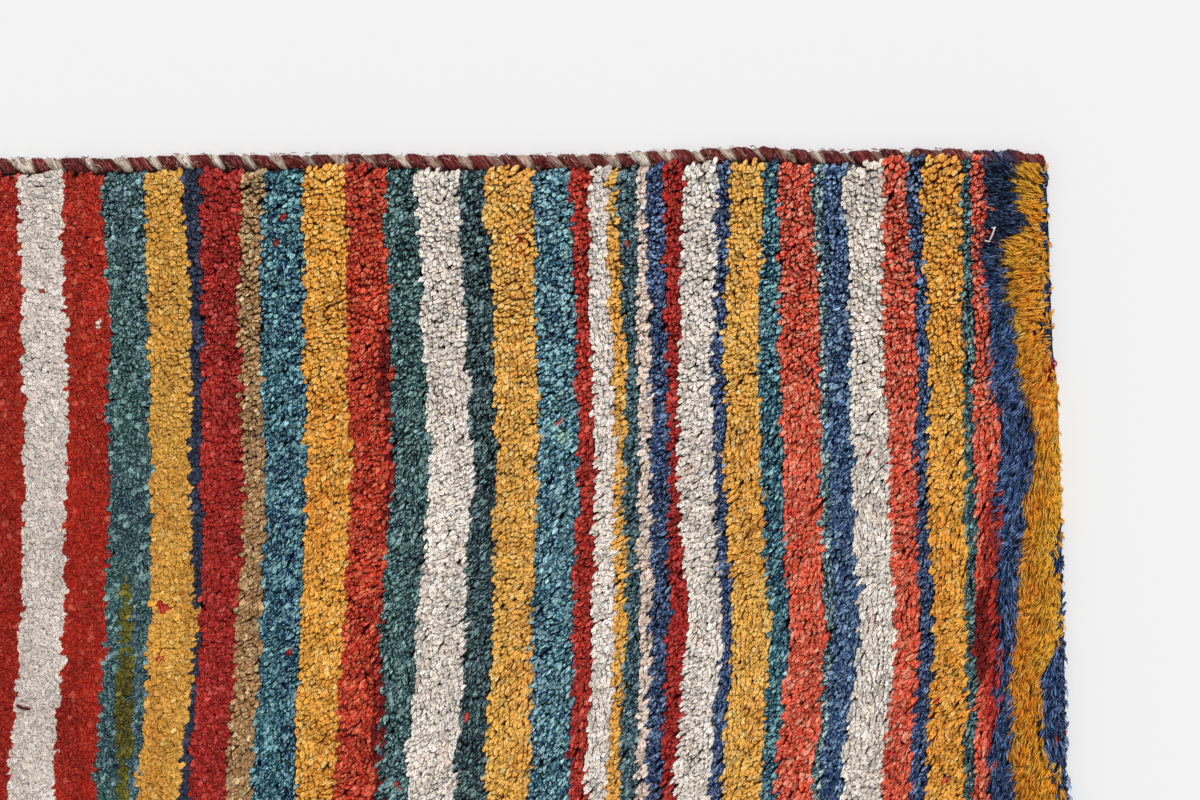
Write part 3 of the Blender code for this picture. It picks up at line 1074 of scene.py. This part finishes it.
# ---------------------------------------------------------------- the ground
def make_ground(material):
    """The cloth itself: flat, closed, and coloured beneath by the backs of the knots."""
    rng = np.random.default_rng(61)
    across = 56
    y = np.linspace(0, 1, across + 1)
    share_y = y
    _, middle = in_field(0.5, share_y)
    edges = stripe_edges(middle)
    edges = edges[(edges.mean(axis=1) < LENGTH / 2 - 0.02)]
    left, right = end_line(-1, middle) + 0.0004, end_line(1, middle) - 0.0004
    lines = [left]
    for edge in [*edges, right]:
        start = lines[-1]
        edge = np.clip(edge, left + 0.002, right)
        parts = max(1, round(float((edge - start).mean()) / 0.012))
        for part in range(1, parts + 1):
            lines.append(start + (edge - start) * part / parts)
    lines = np.maximum.accumulate(
        np.array(lines) + np.arange(len(lines))[:, None] * 1e-6, axis=0
    )
    columns = len(lines)
    ys = np.empty_like(lines)
    for c in range(columns):
        low, high = field_side(-1, lines[c]), field_side(1, lines[c])
        ys[c] = low + (high - low) * share_y
    # Vertices: the bottom sheet, then the top one.
    bottom = np.stack([lines, ys, np.zeros_like(lines)], axis=2).reshape(-1, 3)
    top = bottom + [0, 0, GROUND_HIGH]
    points = np.concatenate([bottom, top])
    n = len(bottom)
    at = np.arange(n).reshape(columns, across + 1)
    a, b = at[:-1, :-1].ravel(), at[1:, :-1].ravel()
    c, d = at[1:, 1:].ravel(), at[:-1, 1:].ravel()
    under = np.concatenate([np.stack([a, d, c], 1), np.stack([a, c, b], 1)])
    over = np.concatenate([np.stack([a, b, c], 1), np.stack([a, c, d], 1)]) + n
    rim = np.concatenate([at[:, 0], at[-1, 1:], at[-2::-1, -1], at[0, -2:0:-1]])
    ahead = np.roll(rim, -1)
    wall = np.concatenate(
        [np.stack([rim, ahead, ahead + n], 1), np.stack([rim, ahead + n, rim + n], 1)]
    )
    faces = np.concatenate([under, over, wall])
    middle_of = points[faces].mean(axis=1)
    wool = wool_at(middle_of[:, 0], middle_of[:, 1])
    colour = np.array([linear(row[0]) for row in WOOLS.values()])[wool]
    # Painted shade: the top of the cloth, seen only deep between the tufts, is painted much
    # darker as shade under the pile, and its sides less so; the underside is darkened a little.
    tone = np.ones(len(faces))
    tone[: len(under)] = 0.80
    tone[len(under) : len(under) + len(over)] = 0.30
    tone[len(under) + len(over) :] = 0.55
    tone = tone * np.exp(rng.normal(0, 0.01, len(faces)))
    colours = np.repeat(colour * tone[:, None], 3, axis=0)
    corner = points[faces].reshape(-1, 3)
    u = corner[:, 0] / LENGTH + 0.5
    v = corner[:, 1] / WIDTH + 0.5
    beneath = np.arange(len(faces)) < len(under)
    v = np.where(np.repeat(beneath, 3), 0.82 * v, 0.84 + 0.14 * v)
    coats = {
        "wool": colours,
        "light": colours * 1.5,
        "fibre": corner * [1 / 0.0024, 1 / 0.0011, 1 / 0.0016],
        "reach": np.zeros(len(corner)),
    }
    return make_mesh("ground", points, faces, coats, np.stack([u, v], axis=1), material)


# ---------------------------------------------------------------- the overcast cords
YARN = 0.0016  # the width of one turn of the overcasting
SLANT = 0.0034  # how far a turn runs along the cord from its middle to its side
WRAP_EVERY = 0.0204  # from one pale wrap to the next
WRAP_FIRST = -0.2337
BLUE_AT, BLUE_HALF = 0.4210, 0.0085  # where the far cord is caught up with blue wool
AROUND = 10
HAIRS = (620, 320)  # loose fibres on the far cord and on the near one
# The wraps along the cord: how far they have crept along, half their width, how much they
# stand out from the red between them (all in mm), how pale and how brown they are.
#        x    crept  half   out    pale  brown
WRAPS = (
    (-470, 0.0, 3.8, 0.50, 1.05, 0.0),
    (-236, 0.0, 4.4, 0.60, 1.15, 0.0),
    (-190, 5.0, 2.6, 0.40, 1.05, 0.3),
    (-100, 7.5, 3.4, 0.50, 1.15, 0.0),
    (-50, 8.0, 3.2, 0.00, 0.85, 0.4),
    (30, 9.5, 3.6, -0.50, 0.80, 0.5),
    (105, 11.0, 4.0, -0.60, 0.75, 0.7),
    (150, 9.0, 3.0, -0.70, 0.75, 0.6),
    (172, 4.6, 4.8, 0.60, 1.25, 0.0),
    (184, 4.0, 4.4, 0.30, 1.10, 0.0),
    (198, 3.0, 2.9, -1.10, 0.95, 0.4),
    (340, 0.8, 3.0, -1.40, 0.95, 0.6),
    (372, 0.8, 2.8, -1.20, 0.85, 1.0),
    (430, 0.8, 2.8, -0.80, 0.75, 1.0),
    (470, 0.8, 2.8, 0.00, 0.60, 1.0),
)


def cord_surface(side, s, phi, swell):
    """The point of a cord's surface on the turn at s, at this angle round it."""
    slant = SLANT * np.clip((LENGTH / 2 - 0.016 - np.abs(s)) / 0.008, 0.1, 1)
    slanted = s - slant * np.cos(phi) * side
    out = CORD_WIDE / 2 - 0.0001 + swell
    rise = CORD_HIGH / 2 - 0.0001 + swell
    z = np.maximum(CORD_HIGH / 2 + rise * np.sin(phi), 0.0)
    return np.stack(
        np.broadcast_arrays(slanted, cord_line(side, slanted) + out * np.cos(phi), z),
        axis=-1,
    )


def make_cord(name, side, material):
    rng = np.random.default_rng(71 if side > 0 else 72)
    corner = side * (WIDTH / 2 - CORD_WIDE)
    left = float(end_line(-1, corner)) + CORD_SHORT
    right = float(end_line(1, corner)) - CORD_SHORT
    turns = round((right - left) / YARN)
    lines = 2 * turns + 1
    s = np.linspace(left, right, lines)
    phi = 2 * np.pi * np.arange(AROUND) / AROUND

    # A pale wrap is a few turns wide, and the red bulges on either side of it.
    place, *columns = np.array(WRAPS).T
    crept, half, out, pale, brown = (
        np.interp(s * (1 if side > 0 else -1), place * MM, column) for column in columns
    )
    phase = (s - crept * MM * (side > 0) - WRAP_FIRST) / WRAP_EVERY
    number = np.round(phase)
    own = noise(number * 1.7, 3.0 * side, 1.0, 73)
    beat = phase - number - 0.05 * own
    half = half * (1 + 0.40 * noise(number * 2.3, 5.0 * side, 1.0, 77)) * MM / WRAP_EVERY
    ragged = 0.05 * noise(s, 7.0 * side, 0.0011, 70)
    # It is wider on the cord's outer side than where it goes down beside the pile.
    wide = half[:, None] * (1 + 0.30 * np.cos(phi)) + ragged[:, None]
    paleness = np.clip((wide - np.abs(beat)[:, None]) / 0.06 + 0.5, 0, 1)
    fickle = 0.15 + 0.55 * brown
    shown = pale * (1 - fickle * np.abs(noise(number * 3.1, side, 1.0, 78)))
    # Some wraps have slipped, and show on one side of the cord more than on the other.
    slipped = noise(number[:, None] * 1.9, 1.3 * np.sin(phi)[None, :] + side, 1.0, 69)
    slipped = np.clip(1 - 1.3 * (brown[:, None] + 0.1) * slipped, 0, 1.2)
    paleness = np.clip(paleness * shown[:, None] * slipped, 0, 1)
    crest = np.where(np.arange(lines) % 2 == 1, 0.00022, -0.00020)
    crest = crest * (1 + 0.5 * noise(s, side, 0.004, 79))
    notch = np.exp(-((beat * WRAP_EVERY / 0.0038) ** 2))
    seam = np.exp(-(((np.abs(beat) - half) * WRAP_EVERY / 0.0013) ** 2))
    swell = (out * MM * notch) + crest + 0.00050 * noise(s, side, 0.006, 74)
    swell = swell - 0.00100 * seam * (1 + 0.6 * noise(s, side, 0.011, 68))
    swell = swell - 0.32 * out * MM * (out < 0)
    # The ends are drawn in.
    fade = np.minimum(s - s[0], s[-1] - s)
    swell = swell - 0.0014 * np.exp(-fade / 0.0010)
    bumps = noise(s[:, None], 3 * np.cos(phi)[None, :], (0.0024, 1.1), 75) * 0.00034
    points = cord_surface(side, s[:, None], phi[None, :], swell[:, None] + bumps)
    caps = []
    for end, line in ((-1, 0), (1, lines - 1)):
        caps.append(points[line].mean(axis=0) + [end * 0.0010, 0, 0])

    names = list(WOOLS)
    across = np.full(lines, float(side))
    coloured = {}
    for wool in ("binding", "wrap", "brown_wrap", "deep_navy"):
        coloured[wool] = wool_colours(s, across, np.full(lines, names.index(wool)), rng)
    blue = 0.85 * np.exp(-(((s - BLUE_AT) / BLUE_HALF) ** 4)) * (side > 0)
    blue = blue[:, None, None]
    mixed = []
    for kind in (0, 1):
        wrap = coloured["wrap"][kind] * (1 - brown)[:, None]
        wrap = (wrap + coloured["brown_wrap"][kind] * brown[:, None])[:, None, :]
        red = coloured["binding"][kind][:, None, :]
        bare = red + (wrap - red) * paleness[:, :, None]
        caught = 0.45 * coloured["deep_navy"][kind][:, None, :]
        mixed.append(bare + (caught - bare) * blue)
    # Painted light and shade on the turns: raised turns are painted lighter and the sunk ones
    # between them darker, the more so on the pale wraps.
    deep = 0.10 + 0.16 * paleness
    tone = 1.0 + deep * np.where(np.arange(lines) % 2 == 1, 0.8, -1.5)[:, None]
    tone = tone * np.exp(rng.normal(0, 0.12, (lines, AROUND)))
    # Painted shade in the seams, where the cord dips at the edge of a wrap.
    tone = tone * (1 - 0.30 * seam)[:, None]

    grid = np.arange(lines * AROUND).reshape(lines, AROUND)
    a, b = grid[:-1], grid[1:]
    a2, b2 = np.roll(a, -1, axis=1), np.roll(b, -1, axis=1)
    first, last = grid[0], grid[-1]
    tip0, tip1 = lines * AROUND, lines * AROUND + 1
    faces = np.concatenate(
        [
            np.stack([a.ravel(), a2.ravel(), b2.ravel()], 1),
            np.stack([a.ravel(), b2.ravel(), b.ravel()], 1),
            np.stack([np.roll(first, -1), first, np.full(AROUND, tip0)], 1),
            np.stack([last, np.roll(last, -1), np.full(AROUND, tip1)], 1),
        ]
    )
    points = np.concatenate([points.reshape(-1, 3), np.array(caps)])
    ends = [0, lines - 1]
    coats = {}
    for coat, colours in zip(("wool", "light"), mixed):
        shaded = (colours * tone[:, :, None]).reshape(-1, 3)
        coats[coat] = np.concatenate([shaded, colours[ends, 0]])
    winding = np.stack(
        np.broadcast_arrays(
            3.0 * np.abs(np.pi - phi)[None, :] / np.pi, s[:, None] / 0.00062, float(side)
        ),
        axis=2,
    )
    coats["fibre"] = np.concatenate([winding.reshape(-1, 3), winding[ends, 0]])
    dark = 0.72 + 0.16 * (np.arange(lines) % 2 == 0)
    coats["reach"] = np.concatenate([np.repeat(dark - 0.2, AROUND), [0.7, 0.7]])

    u = np.concatenate([np.repeat((s - left) / (right - left), AROUND), [0.0, 1.0]])
    v = np.concatenate([np.tile(np.arange(AROUND) / AROUND, lines), [0.5, 0.5]])
    corner_v = v[faces]
    wraps_round = (corner_v.max(axis=1) - corner_v.min(axis=1)) > 0.6
    corner_v = np.where(wraps_round[:, None] & (corner_v < 0.3), corner_v + 1, corner_v)
    uvs = np.stack([0.01 + 0.98 * u[faces], 0.01 + 0.98 * corner_v / 1.1], axis=2)
    return make_mesh(name, points, faces, coats, uvs.reshape(-1, 2), material)


def make_hairs(name, side, material):
    """Fine loose fibres that cling to a cord."""
    rng = np.random.default_rng(81 if side > 0 else 82)
    count = HAIRS[0] if side > 0 else HAIRS[1]
    t = np.linspace(0, 1, 5)[None, :]
    s = rng.uniform(-LENGTH / 2 + 0.012, LENGTH / 2 - 0.030, (count, 1))
    phi = rng.uniform(0.15, np.pi - 0.15, (count, 1))
    run = rng.uniform(-0.0042, 0.0042, (count, 1))
    climb = rng.uniform(-0.5, 0.5, (count, 1))
    curl = rng.uniform(-0.0020, 0.0020, (count, 1)) * np.sin(np.pi * t)
    wave = rng.uniform(-0.35, 0.35, (count, 1)) * np.sin(2 * np.pi * t)
    spine = cord_surface(side, s + run * t + curl, phi + climb * t + wave, 0.00115)
    names = list(WOOLS)
    pale = rng.random(count) < 0.3
    wool = np.where(pale, names.index("wrap"), names.index("fluff"))
    colour, light = wool_colours(s[:, 0], s[:, 0], wool, rng)
    girth = rng.uniform(0.00020, 0.00036, (count, 1)) * np.ones((1, 4))
    tone = np.where(pale, 0.75, 0.85)[:, None] * np.ones((1, 5))
    return make_tapers(name, spine, girth, colour, light, tone, rng, material)


# ---------------------------------------------------------------- stage
def make_floor():
    material = bpy.data.materials.new("pale_floor")
    material.use_nodes = True
    shader = material.node_tree.nodes["Principled BSDF"]
    shader.inputs["Base Color"].default_value = (0.789, 0.789, 0.791, 1)
    shader.inputs["Roughness"].default_value = 1.0
    shader.inputs["Specular IOR Level"].default_value = 0.0
    mesh = bpy.data.meshes.new("floor")
    half = 6.0
    mesh.from_pydata(
        [(-half, -half, 0), (half, -half, 0), (half, half, 0), (-half, half, 0)],
        [],
        [(0, 1, 2, 3)],
    )
    mesh.materials.append(material)
    floor = bpy.data.objects.new("floor", mesh)
    floor.location.z = -0.0003
    bpy.context.scene.collection.objects.link(floor)


def make_lights():
    """Soft light from nearly overhead, and an even fill from all round."""
    world = bpy.data.worlds.new("studio")
    world.use_nodes = True
    background = world.node_tree.nodes["Background"]
    background.inputs["Color"].default_value = (1.0, 1.0, 1.0, 1)
    background.inputs["Strength"].default_value = 0.40
    bpy.context.scene.world = world
    lamp = bpy.data.lights.new("softbox", "SUN")
    lamp.energy = 2.75
    lamp.angle = math.radians(26)
    key = bpy.data.objects.new("softbox", lamp)
    key.rotation_euler = (math.radians(-26), math.radians(22), 0)
    bpy.context.scene.collection.objects.link(key)


def make_camera():
    """Straight above, framing the far right corner of the rug."""
    camera = bpy.data.cameras.new("camera")
    camera.sensor_width = 36
    height = 2.4
    camera.lens = 36 * (height - 0.010) / 0.800
    obj = bpy.data.objects.new("camera", camera)
    obj.location = (0.15167, 0.14333, height)
    bpy.context.scene.collection.objects.link(obj)
    bpy.context.scene.camera = obj


# ---------------------------------------------------------------- all of it
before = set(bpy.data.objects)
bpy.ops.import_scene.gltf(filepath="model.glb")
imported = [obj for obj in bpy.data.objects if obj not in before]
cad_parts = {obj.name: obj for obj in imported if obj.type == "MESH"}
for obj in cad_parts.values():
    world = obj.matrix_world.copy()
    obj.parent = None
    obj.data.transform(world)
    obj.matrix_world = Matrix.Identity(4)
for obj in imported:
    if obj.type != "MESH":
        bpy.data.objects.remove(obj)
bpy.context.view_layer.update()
make_camera()
make_lights()
make_floor()

tuft_wool = wool_material("tuft_wool", 0.20, 0.8, 0.36)
long_wool = wool_material("long_wool", 0.16, 0.3, 0.75)
ground_wool = wool_material("ground_wool", 0.22, 0.6, 0.70)
cord_wool = wool_material("cord_wool", 0.24, 0.9, 0.50, 0.52)

ground = make_ground(ground_wool)
pile = make_pile(tuft_wool)
shag = make_shag(long_wool)
threads = make_threads(long_wool)
cords = [
    make_cord("binding_far", 1, cord_wool),
    make_cord("binding_near", -1, cord_wool),
]
hairs = [
    make_hairs("hairs_far", 1, cord_wool),
    make_hairs("hairs_near", -1, cord_wool),
]

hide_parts("rug_field")
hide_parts("overcast_far")
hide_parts("overcast_near")
for piece in [ground, threads, *shag, *pile]:
    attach(piece, "root")
for piece in [*cords, *hairs]:
    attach(piece, "root")

bpy.context.scene.view_settings.view_transform = "Standard"
bpy.context.view_layer.update()
